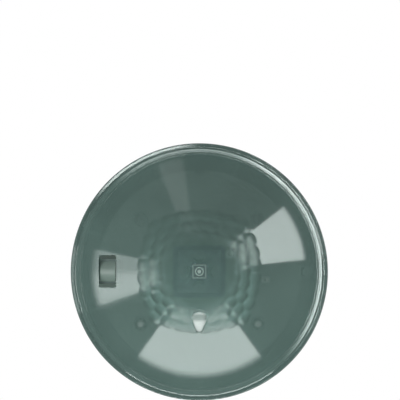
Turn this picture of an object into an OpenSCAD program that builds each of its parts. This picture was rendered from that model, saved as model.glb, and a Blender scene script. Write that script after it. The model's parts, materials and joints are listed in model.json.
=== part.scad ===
// Ceiling presence detector with a smoke-tinted faceted lens bell.
// Origin: centre of the back face, which lies on the ceiling. +Z points up into the ceiling,
// so the bell hangs down to -apex_depth and the posts stand up into the flush box.

/* [Lens bell] */
// Depth of the bell's apex below the back face
apex_depth = 35.6; // [33:0.1:40]
// Radius of the sphere that rounds the apex
apex_radius = 28.2; // [25:0.1:31]
// Width of the flare between the straight flank and the bead
flare_width = 9.6; // [8:0.1:12]
// Radius of the concave flare towards the rim
flare_radius = 60; // [50:1:80]
// Wall of the bell
lens_wall = 1.5; // [1.2:0.1:2]
// Distance of the outermost row of facets from the axis
facet_row_radius = 21.4; // [20:0.1:22]
// Height of the outermost facets above the bell, at their middle
facet_rise = 0.45; // [0.2:0.05:0.8]

/* [Rim ring] */
// Radius of the ring wall at its top edge
ring_radius = 52; // [51.6:0.1:52.4]
// Bulge of the ring wall beyond that radius
ring_bulge = 0.4; // [0.1:0.1:0.6]
// Depth of the ring's lower corner
ring_depth = 10; // [9.6:0.1:10.4]
// Wall of the ring
ring_wall = 1.6; // [1.4:0.1:1.8]
// Distance of the thin bead round the bell from the ring wall
bead_inset = 4.4; // [3.8:0.1:4.8]
// Depth of the bell at the bead
bead_depth = 11.4; // [11:0.1:11.8]
// Thickness of that bead
bead_thickness = 0.7; // [0.4:0.1:1]

/* [Base] */
// Radius of the flat back face
back_radius = 49.3; // [48:0.1:50]
// Radius of the lip that frames the ring
lip_radius = 52.8; // [52.5:0.1:53.5]
// Depth of the upper edge of the lip
lip_top = 2.9; // [2.4:0.1:3.3]
// Depth of the lower face of the lip, where the ring wall starts
lip_bottom = 4.2; // [3.8:0.1:4.6]
// Depth of the thin drip edge that hangs from the lip round the ring
lip_tip = 4.6; // [4.4:0.1:5]
// Thickness of the drip edge
lip_edge = 0.45; // [0.4:0.05:0.6]
// Thickness of the back plate
plate = 2; // [1.6:0.1:2.4]
// Wall of the upstand inside the ring
upstand_wall = 1.5; // [1.2:0.1:1.8]
// Depth that the upstand reaches
upstand_depth = 8.2; // [7.6:0.1:8.6]
// Radius of the raised disc on the back
back_disc_radius = 17.5; // [17:0.1:20]
// Height of the raised disc
back_disc_height = 0.3; // [0.2:0.1:0.6]
// Width of a snap hook
hook_width = 7; // [5:0.5:9]

/* [Board] */
// Distance from the ring wall to the edge of the circuit board
board_margin = 11; // [10.7:0.1:14]
// Thickness of the circuit board
board_thickness = 1.6; // [1:0.1:2]
// Depth of the board's upper face
board_depth = 9; // [8.8:0.1:9.4]
// Distance of a screw from the board's edge
screw_inset = 9.5; // [9:0.1:10]
// Angle between the X axis and the line from the middle to a screw, in degrees
screw_angle = 41.8; // [40:0.1:44]
// Diameter of a screw's domed head
screw_head = 5.5; // [5:0.1:6]
// Height of a screw's domed head
screw_head_height = 2.2; // [1.8:0.1:2.4]
// Diameter of a screw's shank
screw_shank = 2; // [1.8:0.1:2.2]
// Length of a screw below its head
screw_length = 6; // [5:0.5:6.5]

/* [Posts and bus connector] */
// Diameter of a mounting post
post_diameter = 4.5; // [4:0.1:4.6]
// Distance between the two posts
post_spacing = 23.2; // [23:0.1:25]
// Height of a post above the back face
post_height = 20.8; // [18:0.1:30]
// Width of the connector block
block_width = 17; // [16.6:0.1:17.1]
// Front to back size of the connector block
block_length = 13; // [12.6:0.1:14]
// Height of the connector block above the back face
block_height = 4.9; // [4.5:0.1:6]
// Height of its lowered front wall
block_front_height = 2.1; // [1.5:0.1:3]
// Wall of the connector block
block_wall = 1.2; // [1:0.1:1.3]
// Width of one half of the bus terminal
terminal_width = 5.75; // [5.5:0.05:5.8]
// Front to back size of the bus terminal
terminal_length = 10.2; // [9.8:0.1:10.3]
// Height of the bus terminal
terminal_height = 10.3; // [9.8:0.1:11]
// Diameter of a wire entry
wire_entry = 1.3; // [1:0.1:1.5]
// Diameter of a bus pin
pin_diameter = 1; // [0.8:0.1:1.1]

/* [Sensors] */
// Width of the square sensor carrier
carrier_width = 17; // [16.5:0.1:18]
// Depth of the carrier's flat top
carrier_depth = 21.5; // [20.5:0.1:22.5]
// Tilt of each sensor from the vertical, in degrees
sensor_tilt = 35; // [33:0.5:37]
// Wall of the sensor carrier
carrier_wall = 1.4; // [1.2:0.1:1.6]
// Diameter of a sensor can
can_diameter = 4.7; // [4.4:0.1:4.8]
// Height of a sensor can
can_height = 3; // [2.8:0.1:3.4]
// Width of the square light pipe at the apex
pipe_width = 5.2; // [4.8:0.1:5.4]
// Width of the shield-shaped light guide
guide_width = 5; // [4.6:0.1:5.4]
// Length of the light guide's outline
guide_length = 8; // [7.6:0.1:9]
// Distance of the light guide's middle from the axis
guide_offset = 19.2; // [18.8:0.1:20]

/* [Programming button] */
// Distance from the ring wall to the middle of the button
button_inset = 15.8; // [15.2:0.1:16.2]
// Size of the button along X
button_width = 6.8; // [6.4:0.1:7]
// Size of the button along Y
button_length = 7.2; // [6.8:0.1:7.4]
// Size of the window in the bell along Y
window_length = 12.8; // [12:0.1:13.4]
// Travel of the button
button_travel = 0.5; // [0.3:0.05:0.6]
// Width of the square switch under the button
switch_width = 4.2; // [4:0.1:4.4]
// Height of the switch body
switch_height = 1.6; // [1.4:0.1:1.8]

/* [Fits] */
// Clearance of pieces that slide or slip together
slip = 0.15; // [0.1:0.01:0.2]
// Clearance of a pressed or seated piece
seat = 0.05; // [0.03:0.01:0.08]

/* [Hidden] */
$fn = 96;
small_fn = 32;
overrun = 0.5;
arc_steps = 10;

// Honeycomb: row k holds 4k facets, and the rows run from square at the middle to round outside.
facet_rows = 7;
row_growth = 1.4;
square_ratio = sqrt(2);
rounding_share = 0.271;
rim_lift_share = 0.035;
fan_share = 0.5;
fan_rise_share = 0.78;
patch_share = 1.271;
patch_radius = facet_row_radius * patch_share;
seam = 0.1;
tongue_length = 0.6;
tongue_sink = 0.25;

// Bell curve: a sphere, a straight flank and a flare, with the slope for which the flare meets the bead
slope_steps = 40;
slope_low = 15;
slope_high = 50;
bead_radius = ring_radius - bead_inset;
flare_start = bead_radius - flare_width;
function flare_at_bead(slope) =
  apex_depth - apex_radius + apex_radius / cos(slope) - flare_start * tan(slope)
  + flare_radius * cos(slope)
  - sqrt(pow(flare_radius, 2) - pow(flare_start + flare_radius * sin(slope) - bead_radius, 2));
function flank_slope(low, high, steps) =
  let (middle = (low + high) / 2)
  steps == 0 ? middle
    : flare_at_bead(middle) > bead_depth ? flank_slope(middle, high, steps - 1)
    : flank_slope(low, middle, steps - 1);
flank_angle = flank_slope(slope_low, slope_high, slope_steps);
sphere_depth = apex_depth - apex_radius;
cone_depth = sphere_depth + apex_radius / cos(flank_angle);
flare_depth = cone_depth - flare_start * tan(flank_angle);
flare_centre_r = flare_start + flare_radius * sin(flank_angle);
flare_centre_depth = flare_depth + flare_radius * cos(flank_angle);

// Ring and base
ring_inner = ring_radius - ring_wall;
upstand_outer = ring_inner - slip;
upstand_inner = upstand_outer - upstand_wall;
ring_draft = 0.3;
ring_steps = 8;
groove_depth = 0.6;
groove_height = 1.8;
groove_drop = 1.6;
groove_top = lip_bottom + groove_drop;
groove_bottom = groove_top + groove_height;
hook_reach = groove_depth - slip;
hook_angles = [25, 155, 205, 335];
rib_angles = [20, 70, 110, 160, 200, 250, 290, 340];
rib_width = 1.2;
rib_height = 1.5;
boss_radius = 3.2;
locator_radius = 2;
locator_gap = 0.7;
post_boss_radius = 3.5;
post_socket = 5.6;
post_boss_floor = 1;
post_tip = 0.8;
post_collar = 1;
post_root = post_diameter + 0.4;

// Board, connector and terminal
board_radius = ring_radius - board_margin;
locator_x = board_radius + locator_gap + locator_radius;
screw_x = (board_radius - screw_inset) * cos(screw_angle);
screw_y = (board_radius - screw_inset) * sin(screw_angle);
board_face = board_depth + board_thickness;
screw_play = 0.6;
screw_hole = screw_shank + screw_play;
screw_slot = 0.8;
front_width = 15.9;
block_opening_gap = slip;
terminal_gap = 0.1;
terminal_stand = 5.1;
terminal_floor = terminal_height - terminal_stand;
socket_floor = 1.5;
wire_spacing = 2.4;
wire_entry_depth = 3.5;
pin_top = 0.5;
pin_bore_depth = terminal_floor + pin_top + slip;
pin_tail = 0.8;

// Carrier
carrier_top_half = 2.9;
carrier_half = carrier_width / 2;
carrier_shoulder = carrier_depth - (carrier_half - carrier_top_half) * tan(sensor_tilt);
carrier_corner = 1.2;
carrier_flange = 21;
carrier_flange_thickness = 1.2;
sensor_offset = (carrier_half + carrier_top_half) / 2;
sensor_depth = (carrier_shoulder + carrier_depth) / 2;
can_flange = 5.5;
can_flange_thickness = 0.4;
can_stickout = can_height - carrier_wall - seat;
window_diameter = 3;
window_thickness = 0.3;
lead_diameter = 0.45;
lead_length = 2.5;
lead_circle = 2.4;

// Light pipe, light guide and small components
pipe_stem = 4.2;
pipe_flange = 1.1;
pipe_tip_gap = 0.3;
pipe_ring = 4;
pipe_ring_depth = 0.5;
pipe_lens = 1.9;
light_chip_width = 2;
light_chip_height = 0.7;
led_width = 3.2;
led_length = 2.6;
led_height = 1.2;
led_dome = 1.6;
programming_led_inset = 14.3;
programming_led_x = board_radius - programming_led_inset;
programming_led_y = 3.2;
chip_inset = 16.8;
chip_x = screw_x / 2;
chip_y = board_radius - chip_inset;
transceiver_size = 7;
transceiver_height = 1.2;
transceiver_leads = 6;
controller_size = 9;
controller_height = 1.4;
controller_leads = 8;
capacitor_diameter = 7.6;
capacitor_gap = 1;
receiver_x = 12.6;
receiver_y = 7.2;
receiver_width = 3;
receiver_height = 2;
receiver_lens = 2.4;

// Button
button_offset = ring_radius - button_inset;
button_recess = 0.5;
button_skin = 1.4;
button_wall = 0.9;
button_stem = 2.8;
button_play = 0.3;
button_lift = button_travel + button_play;
button_corner = 0.6;
window_gap = 0.3;
guide_wall = 1.2;
lug_width = 2;
lug_reach = 0.5;
lug_height = 0.6;
plunger_diameter = 2.2;
plunger_height = 0.6;
plunger_depth = 0.4;

// Depth below the back face of the bell curve, moved inwards by inset, at distance r from the axis
function bell_depth(r, inset = 0) =
  r < (apex_radius - inset) * sin(flank_angle)
    ? sphere_depth + sqrt(pow(apex_radius - inset, 2) - r * r)
    : r < flare_start - inset * sin(flank_angle)
      ? cone_depth - r * tan(flank_angle) - inset / cos(flank_angle)
      : flare_centre_depth - sqrt(pow(flare_radius + inset, 2) - pow(flare_centre_r - r, 2));

// Slope of the bell curve at distance r, in degrees
function bell_slope(r) =
  r < apex_radius * sin(flank_angle) ? asin(r / apex_radius) : flank_angle;

// Points of the bell curve from the axis, or from start, to end
function bell_curve(start, end, inset = 0) =
  let (
    cap_end = (apex_radius - inset) * sin(flank_angle),
    flare = flare_start - inset * sin(flank_angle),
    cap = [for (s = [0:arc_steps]) if (start < cap_end) start + (cap_end - start) * s / arc_steps],
    cone = start < cap_end ? [] : [start],
    rim = [for (s = [0:arc_steps]) flare + (end - flare) * s / arc_steps]
  )
  [for (r = concat(cap, cone, rim)) [r, -bell_depth(r, inset)]];

// Solid body under the bell curve, as wide as radius and up to depth top
module bell_body(inset, radius, top) {
  rotate_extrude()
    polygon(concat(bell_curve(0, radius, inset), [[radius, -top], [0, -top]]));
}

// Middle of facet i of quadrant q in row k
function facet_angle(k, q, i) = (45 + 90 * (q + i / k)) % 360;
function from_axis(a) = abs(a % 90 > 45 ? a % 90 - 90 : a % 90);
function row_corner(k) = square_ratio - rounding_share * pow(k / facet_rows, 1.5);
function row_radius(k, a) =
  facet_row_radius * pow(k / facet_rows, row_growth)
  * (1 + (row_corner(k) - 1) * (1 / cos(from_axis(a)) - 1) / (square_ratio - 1));
function facet_middle(k, q, i) =
  k == 0 ? [0, 0] : let (a = facet_angle(k, q, i)) row_radius(k, a) * [cos(a), sin(a)];

// Corners where three facets meet: one inner and two outer facets, or two inner and one outer
function fork(k, q, i) =
  (facet_middle(k, q, i) + facet_middle(k + 1, q, i) + facet_middle(k + 1, q, i + 1)) / 3;
function join(k, q, i) =
  (facet_middle(k, q, i) + facet_middle(k, q, i + 1) + facet_middle(k + 1, q, i + 1)) / 3;

// Corners round one facet, anticlockwise
function facet_corners(k, q, i) =
  let (p = (q + 3) % 4)
  k == 0 ? [for (s = [0:3]) fork(0, s, 0)]
    : i == 0
      ? [join(k, p, k - 1), fork(k, p, k), fork(k, q, 0), join(k, q, 0), fork(k - 1, q, 0),
         fork(k - 1, p, k - 1)]
      : [join(k, q, i - 1), fork(k, q, i), join(k, q, i), fork(k - 1, q, i), join(k - 1, q, i - 1),
         fork(k - 1, q, i - 1)];

// Point on the bell over plan position p, raised off the surface
function on_bell(p, rise, inset = 0) =
  let (r = norm(p), out = r == 0 ? [0, 0] : p / r, slope = bell_slope(r))
  [
    p[0] + out[0] * rise * sin(slope),
    p[1] + out[1] * rise * sin(slope),
    -bell_depth(r, inset) - rise * cos(slope)
  ];

// Triangles of one facet: a fan round its middle, then a belt out to its corners and edge middles
function facet_triangles(k, q, i) =
  let (
    corners = facet_corners(k, q, i),
    n = len(corners),
    middle = facet_middle(k, q, i),
    rise = facet_rise * pow(max(k, 1) / facet_rows, row_growth - 1),
    top = on_bell(middle, rise),
    fan = [for (c = corners) on_bell(middle + (c - middle) * fan_share, rise * fan_rise_share)],
    rim = [for (c = corners) on_bell(c, 0)],
    mid = [for (s = [0:n - 1])
      let (c = corners[s], d = corners[(s + 1) % n]) on_bell((c + d) / 2, norm(c - d) * rim_lift_share)]
  )
  [for (s = [0:n - 1])
    let (t = (s + 1) % n)
    each [[top, fan[t], fan[s]], [fan[s], mid[s], rim[s]], [fan[s], fan[t], mid[s]],
          [fan[t], rim[t], mid[s]]]];

// Outer outline of the honeycomb: corners with the middle of each edge between them
outline_corners = [for (q = [0:3]) each [for (i = [0:facet_rows])
  each i < facet_rows ? [fork(facet_rows, q, i), join(facet_rows, q, i)] : [fork(facet_rows, q, i)]]];
outline = [for (s = [0:len(outline_corners) - 1])
  let (c = outline_corners[s], d = outline_corners[(s + 1) % len(outline_corners)])
  each [on_bell(c, 0), on_bell((c + d) / 2, norm(c - d) * rim_lift_share)]];
function circle_under(r, depth) =
  [for (p = outline) let (a = atan2(p[1], p[0])) [r * cos(a), r * sin(a), -depth]];
function belt(inner, outer) =
  [for (s = [0:len(inner) - 1])
    let (t = (s + 1) % len(inner)) each [[inner[s], inner[t], outer[s]], [inner[t], outer[t], outer[s]]]];

// The moulded honeycomb patch, with a tongue round it that sits in the wall of the bell
module honeycomb_patch() {
  edge = patch_radius;
  tip = patch_radius + tongue_length;
  inner_steps = [1, 0.75, 0.5, 0.25];
  facets = [for (k = [0:facet_rows], q = [0:k == 0 ? 0 : 3], i = [0:max(k, 1) - 1])
    each facet_triangles(k, q, i)];
  outer_edge = circle_under(edge, bell_depth(edge));
  outer_tip = circle_under(tip, bell_depth(tip) - tongue_sink);
  inner_tip = circle_under(tip, bell_depth(tip, lens_wall) + tongue_sink);
  rings = [for (s = inner_steps) circle_under(edge * s, bell_depth(edge * s, lens_wall))];
  last = rings[len(rings) - 1];
  triangles = concat(
    facets,
    belt(outline, outer_edge),
    belt(outer_edge, outer_tip),
    belt(outer_tip, inner_tip),
    belt(inner_tip, rings[0]),
    [for (s = [1:len(rings) - 1]) each belt(rings[s - 1], rings[s])],
    [for (s = [0:len(last) - 1])
      [last[s], last[(s + 1) % len(last)], [0, 0, -bell_depth(0, lens_wall)]]]
  );
  polyhedron(
    points = [for (t = triangles) each t],
    faces = [for (s = [0:len(triangles) - 1]) [3 * s, 3 * s + 2, 3 * s + 1]]
  );
}

// Rectangle with round corners, centred
module rounded_box(x, y, z, corner) {
  linear_extrude(z)
    rounded_plate(x, y, corner);
}
module rounded_plate(x, y, corner) {
  union() {
    square([x - 2 * corner, y], center = true);
    square([x, y - 2 * corner], center = true);
    for (sx = [-1, 1], sy = [-1, 1])
      translate([sx * (x / 2 - corner), sy * (y / 2 - corner)]) circle(r = corner, $fn = small_fn);
  }
}

// Smoke-tinted bell and ring wall in one moulding, with the honeycomb facets round the apex
module lens_cover() {
  color([0.36, 0.44, 0.43, 0.6])
    difference() {
      union() {
        rotate_extrude() bell_section();
        honeycomb_patch();
      }
      translate([0, 0, -groove_bottom])
        cylinder(r = ring_inner + groove_depth, h = groove_bottom - groove_top);
      translate([-button_offset, 0, -apex_depth])
        rounded_box(button_width + 2 * window_gap, window_length, apex_depth, button_corner);
    }
}
module bell_section() {
  inner_corner = ring_inner - ring_wall / 2;
  inner = bell_curve(patch_radius + seam, bead_radius, lens_wall);
  polygon(concat(
    bell_curve(patch_radius + seam, bead_radius - bead_thickness / 2),
    [for (a = [30:30:180])
      let (r = bead_radius - bead_thickness / 2 * cos(a)) [r, -bell_depth(r) - bead_thickness / 2 * sin(a)]],
    [for (s = [0:1 / ring_steps:1])
      [ring_radius - ring_draft * pow(1 - s, 2) + ring_bulge * sin(180 * s),
       -ring_depth + (ring_depth - lip_bottom) * s]],
    [
      [ring_inner, -lip_bottom],
      [ring_inner, -ring_depth + ring_wall],
      [inner_corner, -ring_depth + ring_wall / 2]
    ],
    [for (n = [len(inner) - 1:-1:0]) inner[n]]
  ));
}

// Back plate, lip, upstand with snap hooks, screw bosses and post sockets in one moulding
module base_housing() {
  color([0.3, 0.36, 0.35])
    difference() {
      union() {
        rotate_extrude() base_section();
        cylinder(r = back_disc_radius, h = back_disc_height);
        for (a = hook_angles) rotate([0, 0, a]) snap_hook();
        for (a = rib_angles) rotate([0, 0, a]) base_rib();
        at_screws()
          translate([0, 0, -board_depth]) cylinder(r = boss_radius, h = board_depth - plate / 2);
        for (s = [-1, 1])
          translate([s * post_spacing / 2, 0, -plate / 2 - post_socket - post_boss_floor])
            cylinder(r = post_boss_radius, h = post_socket + post_boss_floor);
        translate([locator_x, 0, -board_face])
          cylinder(r = locator_radius, h = board_face - plate / 2, $fn = small_fn);
      }
      connector_opening();
      for (s = [-1, 1])
        translate([s * post_spacing / 2, 0, -plate / 2 - post_socket])
          cylinder(d = post_root + 2 * seat, h = post_socket + plate + back_disc_height);
      at_screws()
        translate([0, 0, -board_depth - overrun])
          cylinder(d = screw_shank + 2 * slip, h = screw_length - board_thickness + 2 * overrun,
                   $fn = small_fn);
    }
}
module base_section() {
  polygon([
    [0, 0],
    [back_radius, 0],
    [lip_radius, -lip_top],
    [lip_radius, -lip_tip],
    [lip_radius - lip_edge, -lip_tip],
    [lip_radius - lip_edge, -lip_bottom],
    [upstand_outer, -lip_bottom],
    [upstand_outer, -upstand_depth],
    [upstand_inner, -upstand_depth],
    [upstand_inner, -plate],
    [0, -plate]
  ]);
}
module snap_hook() {
  translate([upstand_inner, hook_width / 2, -groove_bottom + slip])
    rotate([90, 0, 0])
      linear_extrude(hook_width)
        polygon([
          [0, 0],
          [upstand_wall, 0],
          [upstand_wall + slip + hook_reach, groove_depth],
          [upstand_wall + slip + hook_reach, groove_bottom - groove_top - 2 * slip],
          [0, groove_bottom - groove_top - 2 * slip]
        ]);
}
module base_rib() {
  translate([back_disc_radius, -rib_width / 2, -plate - rib_height])
    cube([upstand_inner + upstand_wall / 2 - back_disc_radius, rib_width, rib_height + plate / 2]);
}
module connector_opening() {
  x = block_width + 2 * block_opening_gap;
  y = block_length + 2 * block_opening_gap;
  translate([-x / 2, -y / 2, -board_depth]) cube([x, y, board_depth + back_disc_height + overrun]);
}
module at_screws() {
  for (sx = [-1, 1], sy = [-1, 1]) translate([sx * screw_x, sy * screw_y, 0]) children();
}

// Off-white socket for the bus terminal, standing on the board and open at the top
module connector_block() {
  cavity_x = 2 * terminal_width + terminal_gap + 2 * slip;
  cavity_y = terminal_length + 2 * slip;
  base_z = -board_depth;
  color([0.74, 0.82, 0.77])
    difference() {
      union() {
        translate([-block_width / 2, 0, base_z])
          cube([block_width, block_length / 2, block_height - base_z]);
        translate([-front_width / 2, -block_length / 2, base_z])
          cube([front_width, block_length, block_height - base_z]);
      }
      translate([-cavity_x / 2, -cavity_y / 2, -terminal_floor])
        cube([cavity_x, cavity_y, terminal_floor + block_height + overrun]);
      translate([-cavity_x / 2, -block_length / 2 - overrun, block_front_height])
        cube([cavity_x, block_length / 2, block_height]);
      translate([-cavity_x / 2, -cavity_y / 2, base_z - overrun])
        cube([cavity_x, cavity_y, overrun - base_z - terminal_floor - socket_floor]);
      for (s = [-1, 1])
        translate([s * (terminal_width + terminal_gap) / 2, 0, -terminal_floor - socket_floor - overrun])
          cylinder(d = pin_diameter + 2 * slip, h = socket_floor + 2 * overrun, $fn = small_fn);
      block_grip_slots();
    }
}
module block_grip_slots() {
  slot = block_wall / 3;
  for (s = [-1, 1])
    translate([s * front_width / 2 - slot, -block_length / 2 + block_wall, -plate])
      cube([2 * slot, block_length / 2 - 2 * block_wall, block_front_height + plate]);
}

// Off-white post that plugs into the flush box
module mounting_post(side) {
  tip_r = post_diameter / 2 - post_tip;
  color([0.85, 0.9, 0.83])
    translate([side * post_spacing / 2, 0, 0])
      rotate_extrude()
        polygon([
          [0, -plate / 2 - post_socket],
          [post_root / 2, -plate / 2 - post_socket],
          [post_root / 2, post_collar],
          [post_diameter / 2, post_collar],
          [post_diameter / 2, post_height - 2 * post_tip],
          [tip_r, post_height],
          [0, post_height]
        ]);
}
module mounting_post_left() { mounting_post(-1); }
module mounting_post_right() { mounting_post(1); }

// One half of the push-in bus terminal: four wire entries on top, one pin socket below
module bus_terminal(side, tint) {
  x = side * (terminal_width + terminal_gap) / 2;
  color(tint)
    difference() {
      translate([x - terminal_width / 2, -terminal_length / 2, -terminal_floor])
        cube([terminal_width, terminal_length, terminal_height]);
      for (s = [-1.5:1:1.5])
        translate([x, s * wire_spacing, terminal_height - terminal_floor - wire_entry_depth])
          cylinder(d = wire_entry, h = wire_entry_depth + overrun, $fn = small_fn);
      translate([x, 0, -terminal_floor - overrun])
        cylinder(d = pin_diameter + 2 * slip, h = pin_bore_depth + overrun, $fn = small_fn);
    }
}
module bus_terminal_black() { bus_terminal(-1, [0.07, 0.07, 0.08]); }
module bus_terminal_red() { bus_terminal(1, [0.6, 0.02, 0.05]); }

// The two tinned pins that the terminal is pushed on
module terminal_pins() {
  color([0.8, 0.8, 0.78])
    for (s = [-1, 1])
      translate([s * (terminal_width + terminal_gap) / 2, 0, -board_face - pin_tail])
        cylinder(d = pin_diameter, h = board_face + pin_tail + pin_top, $fn = small_fn);
}

// Round board with its screw, pin and locating holes
module circuit_board() {
  color([0.16, 0.27, 0.22])
    translate([0, 0, -board_face])
      difference() {
        cylinder(r = board_radius, h = board_thickness);
        at_screws() translate([0, 0, -overrun])
          cylinder(d = screw_hole, h = board_thickness + 2 * overrun, $fn = small_fn);
        for (s = [-1, 1])
          translate([s * (terminal_width + terminal_gap) / 2, 0, -overrun])
            cylinder(d = pin_diameter + 2 * seat, h = board_thickness + 2 * overrun, $fn = small_fn);
        for (a = [90, 270])
          rotate([0, 0, a]) translate([board_radius, 0, -overrun])
            cylinder(r = locator_radius, h = board_thickness + 2 * overrun, $fn = small_fn);
      }
}

// Four domed screws that hold the board on the bosses
module board_screws() {
  dome = (pow(screw_head / 2, 2) + pow(screw_head_height, 2)) / (2 * screw_head_height);
  color([0.2, 0.23, 0.24])
    at_screws() translate([0, 0, -board_face]) {
      difference() {
        intersection() {
          translate([0, 0, dome - screw_head_height]) sphere(r = dome);
          translate([0, 0, -screw_head_height]) cylinder(d = screw_head, h = screw_head_height);
        }
        for (a = [0, 90])
          rotate([0, 0, a])
            translate([-screw_head / 4, -screw_slot / 2, -screw_head_height - overrun])
              cube([screw_head / 2, screw_slot, overrun + screw_slot]);
      }
      cylinder(d = screw_shank, h = screw_length, $fn = small_fn);
    }
}

// Dark hollow tower with four sloped faces, each with a socket for a sensor
module sensor_carrier() {
  color([0.13, 0.17, 0.19])
    difference() {
      union() {
        carrier_body(0);
        translate([0, 0, -board_face - carrier_flange_thickness])
          rounded_box(carrier_flange, carrier_flange, carrier_flange_thickness, carrier_corner);
      }
      carrier_body(carrier_wall);
      for (a = [0:90:270]) at_sensor(a)
        translate([0, 0, -carrier_wall - can_flange])
          cylinder(d = can_diameter + 2 * seat, h = 2 * can_flange);
    }
}
module carrier_body(inset) {
  half = carrier_half - inset;
  shift = inset * tan(sensor_tilt / 2);
  base = inset == 0 ? board_face : board_face - overrun;
  shoulder = carrier_shoulder - shift;
  top_half = carrier_top_half - shift;
  section = [[-half, -base], [half, -base], [half, -shoulder], [top_half, -carrier_depth + inset],
             [-top_half, -carrier_depth + inset], [-half, -shoulder]];
  intersection() {
    rotate([90, 0, 0]) linear_extrude(4 * half, center = true) polygon(section);
    rotate([90, 0, 90]) linear_extrude(4 * half, center = true) polygon(section);
  }
}

// Frame at the middle of a sloped face, with +Z pointing out of the carrier
module at_sensor(a) {
  rotate([0, 0, a])
    translate([sensor_offset, 0, -sensor_depth]) rotate([0, 180 - sensor_tilt, 0]) children();
}

// Heat sensor in a metal can, with its flange inside the carrier wall and two leads
module pyro_sensor(a) {
  color([0.62, 0.63, 0.62])
    at_sensor(a) {
      difference() {
        union() {
          translate([0, 0, -carrier_wall - seat - can_flange_thickness])
            cylinder(d = can_flange, h = can_flange_thickness);
          translate([0, 0, -carrier_wall - seat - can_flange_thickness / 2])
            cylinder(d = can_diameter, h = can_height + can_flange_thickness / 2);
        }
        translate([0, 0, can_stickout - window_thickness])
          cylinder(d = window_diameter + 2 * seat, h = window_thickness + overrun);
      }
      for (s = [-1, 1])
        translate([0, s * lead_circle / 2, -carrier_wall - can_flange_thickness - lead_length])
          cylinder(d = lead_diameter, h = lead_length, $fn = small_fn);
    }
}
module pyro_sensor_right() { pyro_sensor(0); }
module pyro_sensor_back() { pyro_sensor(90); }
module pyro_sensor_left() { pyro_sensor(180); }
module pyro_sensor_front() { pyro_sensor(270); }

// Dark infrared windows of the four cans
module sensor_windows() {
  color([0.05, 0.06, 0.08])
    for (a = [0:90:270]) at_sensor(a)
      translate([0, 0, can_stickout - window_thickness])
        cylinder(d = window_diameter, h = window_thickness);
}

// Clear square light pipe from the brightness sensor to the apex, with a ring and a lens at its tip
module light_pipe() {
  tip = bell_depth(pipe_width / 2 * sqrt(2), lens_wall) - pipe_tip_gap;
  color([0.88, 0.92, 0.9, 0.8])
    difference() {
      union() {
        translate([-pipe_width / 2, -pipe_width / 2, -tip]) cube([pipe_width, pipe_width, pipe_flange]);
        translate([-pipe_stem / 2, -pipe_stem / 2, -tip])
          cube([pipe_stem, pipe_stem, tip - carrier_depth]);
      }
      translate([0, 0, -tip - overrun])
        difference() {
          cylinder(d = pipe_ring, h = pipe_ring_depth + overrun);
          translate([0, 0, pipe_lens / 2 + overrun]) sphere(d = pipe_lens);
          translate([0, 0, pipe_lens / 2 + overrun]) cylinder(d = pipe_lens, h = pipe_lens);
        }
      light_chip_room();
    }
}

module light_chip_room() {
  width = light_chip_width + 2 * slip;
  height = light_chip_height + slip;
  translate([-width / 2, -width / 2, -carrier_depth - height]) cube([width, width, height + overrun]);
}

// Brightness sensor on the flat top of the carrier
module brightness_sensor() {
  color([0.1, 0.1, 0.1])
    translate([-light_chip_width / 2, -light_chip_width / 2, -carrier_depth - light_chip_height])
      cube([light_chip_width, light_chip_width, light_chip_height]);
}

// Shield-shaped light guide: pointed towards the middle, tapered and rounded outwards
module light_guide() {
  pocket_x = led_width + 2 * slip;
  pocket_y = led_length + 2 * slip;
  pocket_height = led_height + led_dome / 2 + slip;
  color([0.95, 0.97, 0.96, 0.9])
    difference() {
      intersection() {
        translate([0, guide_offset, -apex_depth]) linear_extrude(apex_depth - board_face) guide_outline();
        bell_body(lens_wall + pipe_tip_gap, bead_radius, board_depth);
      }
      translate([-pocket_x / 2, guide_offset - pocket_y / 2, -board_face - pocket_height])
        cube([pocket_x, pocket_y, pocket_height + overrun]);
    }
}
module guide_outline() {
  nose = guide_width / 5;
  point = guide_width / 5;
  union() {
    polygon([
      [0, -guide_length / 2],
      [guide_width / 2, -guide_length / 2 + point],
      [guide_width / 2, 0],
      [nose, guide_length / 2 - nose],
      [-nose, guide_length / 2 - nose],
      [-guide_width / 2, 0],
      [-guide_width / 2, -guide_length / 2 + point]
    ]);
    translate([0, guide_length / 2 - nose]) circle(r = nose, $fn = small_fn);
  }
}

// Small surface-mounted lamp with a domed top
module led(tint) {
  color(tint)
    union() {
      translate([-led_width / 2, -led_length / 2, -board_face - led_height])
        cube([led_width, led_length, led_height]);
      translate([0, 0, -board_face - led_height]) sphere(d = led_dome, $fn = small_fn);
    }
}
module status_led() { translate([0, guide_offset, 0]) led([0.9, 0.9, 0.86]); }
module programming_led() {
  translate([programming_led_x, programming_led_y, 0]) led([0.92, 0.9, 0.88]);
}

// Push button whose face follows the bell, with a skirt, a stem and two retaining lugs
module programming_button() {
  lug_depth = lug_reach + button_wall / 2;
  color([0.42, 0.5, 0.49])
    union() {
      difference() {
        button_prism(0, button_recess);
        button_prism(button_wall, button_recess + button_skin);
      }
      intersection() {
        translate([-button_offset, 0, -apex_depth])
          cylinder(d = button_stem, h = apex_depth - board_face - switch_height - plunger_height);
        bell_body(button_recess + button_skin / 2, bead_radius, board_depth);
      }
      for (s = [-1, 1])
        translate([-button_offset - lug_width / 2,
                   s * (button_length / 2 + lug_reach - lug_depth / 2) - lug_depth / 2,
                   -board_face - button_lift - lug_height])
          cube([lug_width, lug_depth, lug_height]);
    }
}
module button_prism(wall, inset) {
  start = wall == 0 ? board_face + button_lift : board_face;
  intersection() {
    translate([-button_offset, 0, -apex_depth])
      rounded_box(button_width - 2 * wall, button_length - 2 * wall, apex_depth - start,
                  button_corner / 2);
    bell_body(inset, bead_radius, board_depth);
  }
}

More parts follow.
